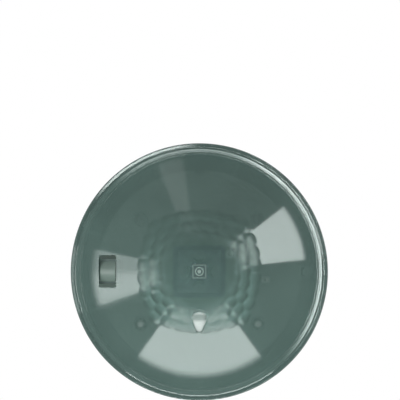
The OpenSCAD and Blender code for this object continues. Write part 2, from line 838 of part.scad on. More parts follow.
// Rectangular sleeve on the board that guides the button and holds its lugs
module button_guide() {
  inner_x = button_width + 2 * slip;
  inner_y = button_length + 2 * slip;
  slot_x = lug_width + 2 * slip;
  slot_y = inner_y + 2 * guide_wall + 2 * overrun;
  color([0.2, 0.24, 0.24])
    difference() {
      intersection() {
        translate([-button_offset, 0, -apex_depth])
          rounded_box(inner_x + 2 * guide_wall, inner_y + 2 * guide_wall, apex_depth - board_face,
                      button_corner);
        bell_body(lens_wall + window_gap, bead_radius, board_depth);
      }
      translate([-button_offset - inner_x / 2, -inner_y / 2, -apex_depth])
        cube([inner_x, inner_y, apex_depth]);
      translate([-button_offset - slot_x / 2, -slot_y / 2, -board_face - button_lift - lug_height - slip])
        cube([slot_x, slot_y, button_lift + lug_height]);
    }
}

// Square switch on the board, with a bore for its plunger
module button_switch() {
  color([0.55, 0.56, 0.55])
    translate([-button_offset, 0, -board_face - switch_height])
      difference() {
        translate([-switch_width / 2, -switch_width / 2, 0])
          cube([switch_width, switch_width, switch_height]);
        translate([0, 0, -overrun])
          cylinder(d = plunger_diameter + 2 * slip, h = switch_height - plunger_depth + overrun,
                   $fn = small_fn);
      }
}

// Plunger that the button's stem pushes into the switch
module switch_plunger() {
  length = plunger_height + switch_height - plunger_depth - button_travel - slip;
  color([0.1, 0.1, 0.1])
    translate([-button_offset, 0, -board_face - switch_height - plunger_height])
      cylinder(d = plunger_diameter, h = length, $fn = small_fn);
}

// Packaged chip with a row of leads on each of two sides
module chip(x, y, size, height, leads) {
  lead = size / (3 * leads);
  color([0.08, 0.09, 0.09])
    translate([x, y, -board_face]) {
      translate([-size / 2, -size / 2, -height]) cube([size, size, height - lead / 2]);
      for (s = [-1, 1], i = [0:leads - 1])
        translate([s * size / 2 - 2 * lead, (i + 1 / 2) * size / leads - size / 2 - lead / 2,
                   -height / 2])
          cube([4 * lead, lead, height / 2]);
    }
}
module bus_transceiver() {
  chip(chip_x, -chip_y, transceiver_size, transceiver_height, transceiver_leads);
}
module microcontroller() {
  chip(-chip_x, -chip_y, controller_size, controller_height, controller_leads);
}

// Upright capacitor on the ceiling side of the board
module storage_capacitor() {
  color([0.35, 0.37, 0.4])
    translate([0, screw_y, -board_depth])
      cylinder(d = capacitor_diameter, h = board_depth - plate - rib_height - capacitor_gap);
}

// Receiver for the remote control, a small block with a lens on the board
module infrared_receiver() {
  color([0.75, 0.78, 0.74])
    translate([receiver_x, -receiver_y, -board_face - receiver_height])
      union() {
        translate([-receiver_width / 2, -receiver_width / 2, 0])
          cube([receiver_width, receiver_width, receiver_height]);
        sphere(d = receiver_lens, $fn = small_fn);
      }
}

lens_cover();
base_housing();
connector_block();
mounting_post_left();
mounting_post_right();
bus_terminal_black();
bus_terminal_red();
terminal_pins();
circuit_board();
board_screws();
sensor_carrier();
pyro_sensor_front();
pyro_sensor_back();
pyro_sensor_left();
pyro_sensor_right();
sensor_windows();
light_pipe();
brightness_sensor();
light_guide();
status_led();
programming_button();
button_guide();
button_switch();
switch_plunger();
programming_led();
bus_transceiver();
microcontroller();
storage_capacitor();
infrared_receiver();
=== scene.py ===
# %% [markdown]
# A ceiling presence detector, seen from below
#
# The solids come from the frame, at their real size. This lesson dresses them: it turns the
# lens bell on a lathe profile, raises its honeycomb, models the parts that show through it,
# and gives every piece a procedural finish. A painted studio sky then mirrors its soft boxes
# on the bell, as in a product photograph.

# %% Load the frame
import bmesh
import bpy
import json
import math
import numpy as np
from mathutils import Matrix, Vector


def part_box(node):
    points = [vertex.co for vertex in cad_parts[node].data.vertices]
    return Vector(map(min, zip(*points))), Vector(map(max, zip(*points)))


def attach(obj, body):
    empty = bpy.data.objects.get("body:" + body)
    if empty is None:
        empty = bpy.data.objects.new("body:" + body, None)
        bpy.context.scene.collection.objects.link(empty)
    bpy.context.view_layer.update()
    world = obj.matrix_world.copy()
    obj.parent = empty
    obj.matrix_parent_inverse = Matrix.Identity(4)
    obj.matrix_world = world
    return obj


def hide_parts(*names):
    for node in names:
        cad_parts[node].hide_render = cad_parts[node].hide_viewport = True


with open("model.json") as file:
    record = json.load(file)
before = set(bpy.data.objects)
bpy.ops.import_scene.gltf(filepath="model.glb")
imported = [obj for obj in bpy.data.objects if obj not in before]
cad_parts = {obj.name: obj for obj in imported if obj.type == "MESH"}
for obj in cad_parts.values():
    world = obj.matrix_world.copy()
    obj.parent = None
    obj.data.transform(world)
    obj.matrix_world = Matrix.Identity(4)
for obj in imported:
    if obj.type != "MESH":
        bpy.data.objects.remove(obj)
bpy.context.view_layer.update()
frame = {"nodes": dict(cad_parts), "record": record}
nodes = frame["nodes"]
scene = bpy.context.scene
MM = 0.001
print("nodes in the frame:", len(nodes))

# %% [markdown]
# The bell is one curve turned round the axis: a sphere at the apex, a straight flank, and a
# hollow flare up to the rim. Written as a function of the distance from the axis, the same
# curve serves the outer skin, the inner skin and the facets. The slope of the flank is found
# by halving an interval until the flare meets the bead at its depth.

# %% The curve of the bell
APEX_DEPTH = 35.6 * MM
APEX_RADIUS = 28.2 * MM
BEAD_RADIUS = 47.6 * MM
BEAD_DEPTH = 11.4 * MM
FLARE_START = 38 * MM
FLARE_RADIUS = 60 * MM
WALL = 1.5 * MM


def depth_at_bead(slope):
    """Depth at which the flare of a flank with this slope meets the bead."""
    cone = APEX_DEPTH - APEX_RADIUS + APEX_RADIUS / math.cos(slope)
    straight = cone - FLARE_START * math.tan(slope)
    reach = FLARE_START + FLARE_RADIUS * math.sin(slope) - BEAD_RADIUS
    return straight + FLARE_RADIUS * math.cos(slope) - math.sqrt(FLARE_RADIUS**2 - reach**2)


def flank_slope(low=0.3, high=0.8, halvings=50):
    """Slope of the flank in radians, by halving the interval from low to high."""
    for _ in range(halvings):
        middle = (low + high) / 2
        low, high = (middle, high) if depth_at_bead(middle) > BEAD_DEPTH else (low, middle)
    return low


FLANK = flank_slope()
SPHERE_DEPTH = APEX_DEPTH - APEX_RADIUS
CONE_DEPTH = SPHERE_DEPTH + APEX_RADIUS / math.cos(FLANK)
FLARE_R = FLARE_START + FLARE_RADIUS * math.sin(FLANK)
FLARE_DEPTH = CONE_DEPTH - FLARE_START * math.tan(FLANK) + FLARE_RADIUS * math.cos(FLANK)


def bell_depth(r, inset=0.0):
    """Depth of the bell below the back face at distance r, moved inwards by inset."""
    if r < (APEX_RADIUS - inset) * math.sin(FLANK):
        return SPHERE_DEPTH + math.sqrt((APEX_RADIUS - inset) ** 2 - r * r)
    if r < FLARE_START - inset * math.sin(FLANK):
        return CONE_DEPTH - r * math.tan(FLANK) - inset / math.cos(FLANK)
    return FLARE_DEPTH - math.sqrt((FLARE_RADIUS + inset) ** 2 - (FLARE_R - r) ** 2)


print("slope of the flank:", round(math.degrees(FLANK), 2), "degrees")

# %% [markdown]
# The rim carries the fine lines of the real cover: a bead where bell and ring meet, one small
# step in the underside, a tight corner, and two shallow steps in the wall. Each is a few points
# of the profile. A round stretch is an arc, given by its centre, radius and two angles, so that
# it can be made finer without moving it. A band of close points lies just inside the bead:
# without it, the long faces of the flare would share their smooth shading with the bead.

# %% The profile of the cover
RING_RADIUS = 52.0 * MM
RING_DEPTH = 10.0 * MM
RING_TOP = 4.2 * MM
RING_INNER = 50.4 * MM
CORNER = 0.5 * MM
CORNER_INSET = 0.1 * MM
FILLET = 1.0 * MM
FILLET_DEPTH = 8.0 * MM
BEAD = 0.35 * MM
BEAD_RISE = 0.12 * BEAD
BAND_RADIUS = 45.9 * MM
BAND_STEP = 0.1 * MM
BAND_SINK = -0.02 * BAND_STEP
FACET_ZONE = 27.2 * MM


def arc(centre_r, centre_z, radius, start, end, steps):
    """Points on an arc between two angles, in degrees from the outward direction."""
    angles = [math.radians(start + (end - start) * s / steps) for s in range(steps + 1)]
    return [(centre_r + radius * math.cos(a), centre_z + radius * math.sin(a)) for a in angles]


def curve_points(start, end, steps, inset=0.0):
    """Points along the bell's curve from start to end."""
    stops = [start + (end - start) * s / steps for s in range(steps + 1)]
    return [(r, -bell_depth(r, inset)) for r in stops]


def bump_points(middle, half, height, steps=8):
    """A small round bump on the bell's curve."""
    bumps = []
    for s in range(1, steps):
        a = math.pi * s / steps
        r = middle - half * math.cos(a)
        bumps.append((r, -bell_depth(r) - height * math.sin(a)))
    return bumps


def underside_points():
    """The underside from the bead to the corner, with one small step near its middle."""
    stops = [(11.15, 48.2), (11.04, 48.6), (10.91, 49.0), (10.775, 49.4), (10.65, 49.75),
             (10.48, 50.0), (10.33, 50.2), (10.27, 50.35), (10.1, 51.0)]
    return [(r * MM, -depth * MM) for depth, r in stops]


def wall_points():
    """The ring wall from the corner up, with two shallow steps and a slight bulge."""
    stops = [(9.0, 51.95), (8.7, 52.0), (8.45, 52.2), (8.2, 52.28), (7.6, 52.3), (7.4, 52.22),
             (7.2, 52.3), (6.7, 52.3), (6.45, 52.18), (6.2, 52.14), (5.2, 52.1), (4.2, 52.0)]
    return [(r * MM, -depth * MM) for depth, r in stops]


corner_middle = (RING_RADIUS - CORNER_INSET - CORNER, -RING_DEPTH + CORNER)
corner_arc = arc(*corner_middle, CORNER, start=-75, end=-5, steps=8)
fillet_arc = arc(RING_INNER - FILLET, -FILLET_DEPTH, FILLET, start=-5, end=-62, steps=8)
band_start = BAND_RADIUS - 6 * BAND_STEP
cover_profile = (
    curve_points(0, FACET_ZONE, steps=96)
    + curve_points(FACET_ZONE, band_start, steps=20)[1:]
    + curve_points(band_start, BAND_RADIUS - 2 * BAND_STEP, steps=6)[1:]
    + bump_points(BAND_RADIUS, 2 * BAND_STEP, BAND_SINK)
    + curve_points(BAND_RADIUS + 2 * BAND_STEP, BEAD_RADIUS - BEAD, steps=14)
    + bump_points(BEAD_RADIUS, BEAD, BEAD_RISE)
    + underside_points()
    + corner_arc
    + wall_points()
    + [(RING_INNER, -RING_TOP)]
    + fillet_arc
    + curve_points(BEAD_RADIUS, 0, steps=50, inset=WALL)
)
print("points on the cover's profile:", len(cover_profile))

# %% [markdown]
# The honeycomb is a pattern with a rule: row k holds 4k facets, the rows are nearly square at
# the middle and round outside. Each facet is a shallow dome, and its size grows with its row.
# At every point of the skin the highest dome wins, so neighbouring domes meet in straight
# valleys and the hexagons appear by themselves. The domes are parabolas, and a soft maximum
# rounds the valleys as a mould would.

# %% The middles of the facets
ROWS = 7
ROW_RADIUS = 21.4 * MM
ROW_GROWTH = 1.4
ROUNDING = 0.271
ROUNDING_GROWTH = 1.5
APEX_SIZE = 0.36
FACET_RISE = 0.16 * MM
FACET_REACH = 3.05 * MM
VALLEY = 0.008 * MM
LIP_REACH = 2.3 * MM
VALLEY_REACH = 0.3 * MM
VALLEY_SHADE = 0.25


def facet_middles():
    """Middle of each facet on the bell, with the size of its row as a share of the largest."""
    middles = [(0.0, 0.0, -bell_depth(0), APEX_SIZE)]
    for k in range(1, ROWS + 1):
        reach = ROW_RADIUS * (k / ROWS) ** ROW_GROWTH
        corner = math.sqrt(2) - ROUNDING * (k / ROWS) ** ROUNDING_GROWTH
        for j in range(4 * k):
            a = math.radians(45 + 90 * j / k)
            off = abs((math.degrees(a) + 45) % 90 - 45)
            square = (1 / math.cos(math.radians(off)) - 1) / (math.sqrt(2) - 1)
            r = reach * (1 + (corner - 1) * square)
            size = (k / ROWS) ** (ROW_GROWTH - 1)
            middles.append((r * math.cos(a), r * math.sin(a), -bell_depth(r), size))
    return np.array(middles)


middles = facet_middles()
print("facets:", len(middles))


# %% [markdown]
# The cover, the ring of the light pipe and the screw heads are all turned. A lathe spins a
# profile of points round the Z axis. Points that fall on the axis come out many times in the
# same place, so they are merged, and the normals are made to point outwards.

# %% A lathe
MERGE_DISTANCE = 0.0005 * MM
COVER_SEGMENTS = 360


def publish(name, bm):
    """Makes an object of a finished bmesh and frees it."""
    mesh = bpy.data.meshes.new(name)
    bm.to_mesh(mesh)
    bm.free()
    piece = bpy.data.objects.new(name, mesh)
    scene.collection.objects.link(piece)
    return piece


def lathe(name, profile, segments):
    """A body of revolution: the profile is spun round the Z axis and its poles are merged."""
    bm = bmesh.new()
    ring = [bm.verts.new((r, 0, z)) for r, z in profile]
    edges = [bm.edges.new(pair) for pair in zip(ring, ring[1:])]
    bmesh.ops.spin(
        bm, geom=ring + edges, cent=(0, 0, 0), axis=(0, 0, 1),
        angle=2 * math.pi, steps=segments, use_merge=True,
    )
    bmesh.ops.remove_doubles(bm, verts=bm.verts, dist=MERGE_DISTANCE)
    bmesh.ops.recalc_face_normals(bm, faces=bm.faces)
    return publish(name, bm)


lens = lathe("lens_cover_skin", cover_profile, COVER_SEGMENTS)
print("faces of the cover:", len(lens.data.polygons))


# %% [markdown]
# The heights are worked out for all points at once: a table of the distances from each point to
# each facet's middle gives every dome's height there. The same table tells where in its facet
# a point lies, from 0 at the outer edge to 1 at the inner lip, and how near it is to a valley.
# Two attributes keep this with the mesh for the finishes: "facet" is 1 where a facet stands,
# "lip" is the place within it, lowered near the valleys. The smoked finish turns "lip" into
# painted shade and painted light on each facet.

# %% Raise the facets on the skin
SKIN_TOLERANCE = 0.02 * MM
SKIN_ZONE = FACET_ZONE + 2 * MM
LEAST_HEIGHT = 0.02 * MM


def facet_height(points):
    """Height of the facets at each point, and how near the point lies to a facet's inner lip,
    lowered near the valleys as painted shade.
    """
    gap = ((points[:, None, :] - middles[None, :, :3]) ** 2).sum(2)
    size = middles[:, 3]
    domes = FACET_RISE * size * (1 - gap / (FACET_REACH * size) ** 2)
    domes = np.concatenate([domes, np.zeros((len(points), 1))], axis=1)
    top = domes.max(1, keepdims=True)
    height = (top + VALLEY * np.log(np.exp((domes - top) / VALLEY).sum(1, keepdims=True)))[:, 0]
    own = middles[domes[:, :-1].argmax(1)]
    inward = np.hypot(own[:, 0], own[:, 1]) - np.hypot(points[:, 0], points[:, 1])
    lip = np.clip(0.5 + inward / (2 * LIP_REACH * own[:, 3]), 0, 1)
    near = np.sort(np.sqrt(gap), axis=1)
    valley = np.clip((near[:, 1] - near[:, 0]) / (2 * VALLEY_REACH), 0, 1)
    # lowering the lip value near the valleys paints shade into them
    return height, lip * (1 - VALLEY_SHADE + VALLEY_SHADE * valley)


def raise_facets(piece):
    """Moves the outer skin out along the bell's normal by the height of the facets."""
    mesh = piece.data
    co = np.zeros(len(mesh.vertices) * 3)
    mesh.vertices.foreach_get("co", co)
    co = co.reshape(-1, 3)
    r = np.hypot(co[:, 0], co[:, 1])
    skin = np.array([abs(z + bell_depth(d)) < SKIN_TOLERANCE for d, z in zip(r, co[:, 2])])
    skin &= r < SKIN_ZONE
    on_sphere = np.arcsin(np.clip(r / APEX_RADIUS, 0, 1))
    slope = np.where(r < APEX_RADIUS * math.sin(FLANK), on_sphere, FLANK)
    out = co[skin, :2] / np.maximum(r[skin, None], 1e-9)
    height, lip = facet_height(co[skin])
    co[skin, :2] += out * (height * np.sin(slope[skin]))[:, None]
    co[skin, 2] -= height * np.cos(slope[skin])
    mesh.vertices.foreach_set("co", co.ravel())
    raised = height > LEAST_HEIGHT
    for name, values in (("facet", raised), ("lip", np.where(raised, lip, 0.5))):
        field = np.zeros(len(mesh.vertices))
        field[skin] = values
        mesh.attributes.new(name, "FLOAT", "POINT").data.foreach_set("value", field)
    mesh.update()
    return height.max()


print("highest facet:", round(raise_facets(lens) / MM, 3), "mm")

# %% [markdown]
# The cover has a window for the programming button. Cutting a hole through a dense curved
# shell is a job for the Boolean modifier: a rounded block passes through the wall, and the
# result is taken over as the new mesh. Smooth shading then leaves only the sharp edges crisp.

# %% Blocks, cuts and smooth shading
WINDOW_GAP = 0.3 * MM
WINDOW_LENGTH = 12.8 * MM
WINDOW_CORNER = 0.6 * MM


def round_edges(bm, edges, radius):
    """Rounds edges with three segments."""
    bmesh.ops.bevel(
        bm, geom=edges, offset=radius, offset_type="OFFSET", segments=3,
        profile=0.5, affect="EDGES", material=-1,
    )


def block(name, size, centre, radius):
    """A box with rounded edges, made from a cube."""
    bm = bmesh.new()
    bmesh.ops.create_cube(bm, size=1)
    bmesh.ops.scale(bm, vec=size, verts=bm.verts)
    round_edges(bm, bm.edges[:], radius)
    bmesh.ops.translate(bm, vec=centre, verts=bm.verts)
    return publish(name, bm)


def cut(piece, cutter):
    """Takes the cutter out of the piece, applies the result and removes the cutter."""
    modifier = piece.modifiers.new("cut", "BOOLEAN")
    modifier.object = cutter
    modifier.operation = "DIFFERENCE"
    modifier.solver = "EXACT"
    graph = bpy.context.evaluated_depsgraph_get()
    result = bpy.data.meshes.new_from_object(piece.evaluated_get(graph))
    piece.modifiers.clear()
    old = piece.data
    piece.data = result
    bpy.data.meshes.remove(old)
    bpy.data.objects.remove(cutter)


def smooth(piece, angle):
    """Smooth shading, with edges sharper than angle, in degrees, kept crisp."""
    piece.data.shade_smooth()
    piece.data.set_sharp_from_angle(angle=math.radians(angle))


def dress(piece, body="housing", stands_for=None):
    """Says what the piece rides on and hides the solid it stands for."""
    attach(piece, body)
    if stands_for:
        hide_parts(stands_for)


button_low, button_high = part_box("programming_button")
window_x = (button_low.x + button_high.x) / 2
window_w = button_high.x - button_low.x + 2 * WINDOW_GAP
window_size = (window_w, WINDOW_LENGTH, 2 * APEX_DEPTH)
window_tool = block("window_tool", window_size, (window_x, 0, -APEX_DEPTH), WINDOW_CORNER)
cut(lens, window_tool)
smooth(lens, angle=35)
dress(lens, stands_for="lens_cover")
print("window:", round(window_w / MM, 1), "by", round(WINDOW_LENGTH / MM, 1), "mm")

# %% [markdown]
# Every finish is a small node tree. A moulded plastic is a base colour that drifts by a few
# per cent, a roughness that drifts with it, and a very fine bump. All patterns read Object
# coordinates, so they stay on the piece in every view. Each helper adds one node, links its
# inputs and returns the output, so a tree reads like a sum.

# %% Finish helpers
DRIFT_SCALE = 90.0
RELIEF_DEPTH = 0.02 * MM


def node_tree(name):
    """A new material with its node tree, its shader and an object coordinate."""
    material = bpy.data.materials.new(name)
    material.use_nodes = True
    tree = material.node_tree
    shader = tree.nodes["Principled BSDF"]
    place = tree.nodes.new("ShaderNodeTexCoord").outputs["Object"]
    return material, tree, shader, place


def noise(tree, place, scale, detail=2.0):
    """A noise pattern of the given scale, per metre."""
    pattern = tree.nodes.new("ShaderNodeTexNoise")
    pattern.inputs["Scale"].default_value = scale
    pattern.inputs["Detail"].default_value = detail
    tree.links.new(place, pattern.inputs["Vector"])
    return pattern.outputs["Fac"]


def span(tree, value, start, end, low, high, kind="LINEAR"):
    """Maps a value from start..end to low..high and holds it there."""
    node = tree.nodes.new("ShaderNodeMapRange")
    node.interpolation_type = kind
    for name, number in zip(("From Min", "From Max", "To Min", "To Max"), (start, end, low, high)):
        node.inputs[name].default_value = number
    tree.links.new(value, node.inputs["Value"])
    return node.outputs["Result"]


def spread(tree, value, low, high):
    """Maps a noise value to low..high. Nearly all of it lies between 0.3 and 0.7."""
    return span(tree, value, 0.3, 0.7, low, high)


def calculate(tree, operation, *values):
    """One arithmetic node. Its inputs are sockets or numbers."""
    node = tree.nodes.new("ShaderNodeMath")
    node.operation = operation
    for socket, value in zip(node.inputs, values):
        if isinstance(value, (int, float)):
            socket.default_value = value
        else:
            tree.links.new(value, socket)
    return node.outputs[0]


def vector_node(tree, operation, place, other=None):
    """One vector node on a coordinate. The other input, if any, is a fixed vector."""
    node = tree.nodes.new("ShaderNodeVectorMath")
    node.operation = operation
    tree.links.new(place, node.inputs[0])
    if other:
        node.inputs[1].default_value = other
    return node.outputs


def along(tree, place, axis):
    """One axis of a coordinate."""
    parts = tree.nodes.new("ShaderNodeSeparateXYZ")
    tree.links.new(place, parts.inputs[0])
    return parts.outputs[axis]


def blend(tree, value, dark, light):
    """Mixes two colours, given as numbers or sockets, by a value."""
    mix = tree.nodes.new("ShaderNodeMix")
    mix.data_type = "RGBA"
    sockets = {socket.identifier: socket for socket in mix.inputs}
    tree.links.new(value, sockets["Factor_Float"])
    for socket, colour in ((sockets["A_Color"], dark), (sockets["B_Color"], light)):
        if isinstance(colour, tuple):
            socket.default_value = (*colour, 1)
        else:
            tree.links.new(colour, socket)
    return next(out for out in mix.outputs if out.identifier == "Result_Color")


def bump(tree, value, strength, distance):
    """A fine relief for the shader's normal."""
    relief = tree.nodes.new("ShaderNodeBump")
    relief.inputs["Strength"].default_value = strength
    relief.inputs["Distance"].default_value = distance
    tree.links.new(value, relief.inputs["Height"])
    return relief.outputs["Normal"]


def moulded(name, colour, rough, drift=0.08, grain=2500.0, relief=0.08):
    """Moulded plastic: a slow drift of colour and gloss, and a fine grain."""
    material, tree, shader, place = node_tree(name)
    slow = noise(tree, place, DRIFT_SCALE, detail=3.0)
    fade = spread(tree, slow, 0, 1)
    dark = tuple(c * (1 - drift) for c in colour)
    light = tuple(min(1.0, c * (1 + drift)) for c in colour)
    tree.links.new(blend(tree, fade, dark, light), shader.inputs["Base Color"])
    rough_out = spread(tree, slow, rough * 0.85, min(1.0, rough * 1.2))
    tree.links.new(rough_out, shader.inputs["Roughness"])
    fine = bump(tree, noise(tree, place, grain), relief, RELIEF_DEPTH)
    tree.links.new(fine, shader.inputs["Normal"])
    return material


def metal(name, colour, rough):
    """Plated metal with fine streaks."""
    material = moulded(name, colour, rough, drift=0.1, grain=4000.0, relief=0.05)
    material.node_tree.nodes["Principled BSDF"].inputs["Metallic"].default_value = 1.0
    return material


print("finish helpers ready")

# %% [markdown]
# The cover is a smoke-tinted translucent plastic: part of the light passes, part is scattered
# in the tint, and the polished skin mirrors the lamps. True refraction would leave the closed
# inside dark and noisy, so the tint is a Principled shader with a plain alpha, which lets
# light in and out in straight lines. The flank is polished. The honeycomb is dull in its middle,
# so that it doesn't mirror the boxes meant for the rim, and grows glossier outwards. There each
# facet gets painted shading from the attribute "lip": painted shade at its outer edge and in
# the valleys, painted light at its inner lip. The painted light and shade are strongest towards
# +Y, where the photograph shows the facets best, and fade towards -Y.

# %% The smoked cover
SMOKE_DARK = (0.084, 0.152, 0.134)
SMOKE_LIGHT = (0.102, 0.18, 0.159)
SMOKE_ALPHA = 0.5
SPECULAR_TINT = (0.92, 1.0, 0.975, 1)
# painted shade and painted light on the facets: the dark and pale shares, the range of lip values,
# and their fade towards -Y
LIP_SHADE_AND_LIGHT = (0.8, 2.2)
LIP_RANGE = (0.15, 0.95)
LIT_SIDE_FADE = (-14 * MM, 10 * MM)
LIT_SIDE_LEAST = 0.25
MATT_START = 11.5 * MM
MATT_END = 16.5 * MM


def from_axis(tree, place):
    """Distance from the axis of the detector."""
    flat = vector_node(tree, "MULTIPLY", place, (1, 1, 0))["Vector"]
    return vector_node(tree, "LENGTH", flat)["Value"]


def facet_painted_shading(tree, place, plain):
    """The plain tint in the middle of the honeycomb; further out, painted shade and painted light
    on each facet.
    """
    lip = tree.nodes.new("ShaderNodeAttribute")
    lip.attribute_name = "lip"
    dark, pale = (tuple(c * share for c in SMOKE_DARK) for share in LIP_SHADE_AND_LIGHT)
    shade = blend(tree, span(tree, lip.outputs["Fac"], *LIP_RANGE, 0, 1), dark, pale)
    outwards = span(tree, from_axis(tree, place), MATT_START, MATT_END, 0, 1)
    # the painted light and shade are strongest towards +Y and fade into the dark tint towards -Y
    shown = span(tree, along(tree, place, "Y"), *LIT_SIDE_FADE, LIT_SIDE_LEAST, 1)
    return blend(tree, shown, SMOKE_DARK, blend(tree, outwards, plain, shade))


def smoked_material(name, rough, ior, alpha=SMOKE_ALPHA, rough_middle=None):
    """Smoke-tinted plastic. With rough_middle it is the honeycomb's: dull near the axis."""
    material, tree, shader, place = node_tree(name)
    slow = spread(tree, noise(tree, place, 45.0), 0, 1)
    tint = blend(tree, slow, SMOKE_DARK, SMOKE_LIGHT)
    if rough_middle:
        tint = facet_painted_shading(tree, place, tint)
        reach = from_axis(tree, place)
        gloss = span(tree, reach, MATT_START, MATT_END, rough_middle, rough)
    else:
        gloss = span(tree, slow, 0, 1, 0.9 * rough, 1.1 * rough)
    tree.links.new(tint, shader.inputs["Base Color"])
    tree.links.new(gloss, shader.inputs["Roughness"])
    flow = bump(tree, noise(tree, place, 150.0, detail=1.0), 0.02, RELIEF_DEPTH)
    tree.links.new(flow, shader.inputs["Normal"])
    shader.inputs["Alpha"].default_value = alpha
    shader.inputs["IOR"].default_value = ior
    shader.inputs["Specular Tint"].default_value = SPECULAR_TINT
    return material


smoke = smoked_material("smoked_polished", rough=0.07, ior=1.8)
smoke_matt = smoked_material("smoked_matt", rough=0.2, ior=1.6, rough_middle=0.8)
smoke_inner = smoked_material("smoked_inner", rough=0.6, ior=1.2)
print("alpha of the cover:", SMOKE_ALPHA)

# %% [markdown]
# The inner pieces are seen dimly through the cover, so their finishes matter most in their
# lightness: a dark tower, pale light guides, dull cans, a green-grey board. Two finishes change
# within a piece: a mask, made of two soft steps that are multiplied, blends the plain colour
# into another one. Both are painted light: the inside of the base and the board under the
# button's window are painted lighter to offset the shade that falls there.

# %% The other finishes
HOUSING_COLOUR = (0.125, 0.175, 0.165)
# painted light: the inside of the base is painted lighter to offset the shade that falls there
HOUSING_INSIDE_LIT = (0.17, 0.235, 0.215)
BOARD_COLOUR = (0.19, 0.26, 0.235)
# painted light: the board under the button's window is painted lighter to offset the shade deep in
# the window
BOARD_UNDER_WINDOW_LIT = (0.34, 0.46, 0.41)
LIT_FIELD_EDGE = 0.2 * MM


def repaint(material, make_masks, colour):
    """Blends a colour into a moulded plastic, where both masks are 1."""
    tree = material.node_tree
    target = tree.nodes["Principled BSDF"].inputs["Base Color"]
    plain = target.links[0].from_socket
    place = tree.nodes["Texture Coordinate"].outputs["Object"]
    mask = calculate(tree, "MULTIPLY", *make_masks(tree, place))
    tree.links.new(blend(tree, mask, plain, colour), target)
    return material


def lit_inside_housing(tree, place):
    """Masks for painted light inside the base, against its shade: within the upstand, and below
    the back plate.
    """
    inner = span(tree, from_axis(tree, place), 49.4 * MM, 49.9 * MM, 1, 0)
    below = span(tree, along(tree, place, "Z"), -3.0 * MM, -2.0 * MM, 1, 0)
    return inner, below


def lit_under_window(tree, place):
    """Masks for painted light on the board under the window, against the shade there: up to its
    inner edge, and along its length.
    """
    edge = window_x + window_w / 2
    half = WINDOW_LENGTH / 2
    either_side = vector_node(tree, "ABSOLUTE", place)["Vector"]
    left = span(tree, along(tree, place, "X"), edge, edge + LIT_FIELD_EDGE, 1, 0)
    level = span(tree, along(tree, either_side, "Y"), half, half + LIT_FIELD_EDGE, 1, 0)
    return left, level


housing = repaint(moulded("housing_satin", HOUSING_COLOUR, 0.32), lit_inside_housing, HOUSING_INSIDE_LIT)
board = repaint(moulded("board_lacquer", BOARD_COLOUR, 0.35), lit_under_window, BOARD_UNDER_WINDOW_LIT)
finishes = {
    "housing_plastic": housing,
    "white_plastic": moulded("off_white", (0.66, 0.76, 0.64), 0.38),
    "terminal_black": moulded("terminal_black", (0.006, 0.006, 0.008), 0.4),
    "terminal_red": moulded("terminal_red", (0.33, 0.003, 0.012), 0.35),
    "tinned_metal": metal("tinned_pin", (0.7, 0.7, 0.66), 0.3),
    "board_laminate": board,
    "dark_screw": metal("dark_screw", (0.12, 0.14, 0.15), 0.4),
    "carrier_plastic": moulded("carrier_plastic", (0.08, 0.115, 0.165), 0.45),
    "sensor_can": moulded("dull_can", (0.12, 0.165, 0.2), 0.6),
    "sensor_window": moulded("sensor_window", (0.1, 0.13, 0.17), 0.3),
    "clear_plastic": moulded("clear_guide", (0.85, 0.95, 0.9), 0.15, 0.03),
    "chip_black": moulded("chip_black", (0.16, 0.22, 0.2), 0.45),
    "lamp_white": moulded("lamp_white", (0.36, 0.44, 0.4), 0.3),
    "button_plastic": moulded("button_satin", (0.125, 0.178, 0.155), 0.32),
    "switch_metal": metal("switch_frame", (0.55, 0.55, 0.53), 0.35),
    "capacitor_sleeve": moulded("capacitor_sleeve", (0.03, 0.035, 0.05), 0.25),
    "receiver_plastic": moulded("receiver_plastic", (0.4, 0.5, 0.45), 0.3),
    "smoked_lens": smoke,
}
special = {"button_guide": moulded("guide_satin", (0.07, 0.105, 0.095), 0.6)}
slot_of = {part["node"]: part["material_slot"] for part in frame["record"]["subparts"]}
for name, piece in nodes.items():
    piece.data.materials.clear()
    piece.data.materials.append(special.get(name) or finishes[slot_of[name]])
print("finishes:", len(finishes))

# %% [markdown]
# The light pipe ends in a clear square with a raised frame, a ring and a small lens in it.
# The frame and ring catch the light while the floor between them stays dark, which is what
# makes the square stand out in the middle of the detector. The steps are insets and pushes
# of one face of a block, and ring and lens are turned. The sensor for brightness stands inside
# the pipe's foot, so a pocket is cut for it.

# %% The light pipe
pipe_low, pipe_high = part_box("light_pipe")
PIPE_FACE = pipe_low.z
PIPE_WIDTH = pipe_high.x - pipe_low.x
PIPE_FRAME = 0.45 * MM
PIPE_FLOOR = 0.5 * MM
PIPE_HEAD = 1.1 * MM
STEM_INSET = 0.5 * MM
LEDGE = 0.02 * MM
SLIP = 0.1 * MM
RING_POINTS = [(1.25, 0.1), (1.3, -0.35), (1.45, -0.45), (1.6, -0.35), (1.65, 0.1), (1.25, 0.1)]
DOT_RADIUS = 0.75 * MM
DOT_SINK = 0.2 * MM


def shrink(bm, face, thickness):
    """Shrinks a face and joins it to its old outline."""
    bmesh.ops.inset_region(bm, faces=[face], thickness=thickness, use_even_offset=True)


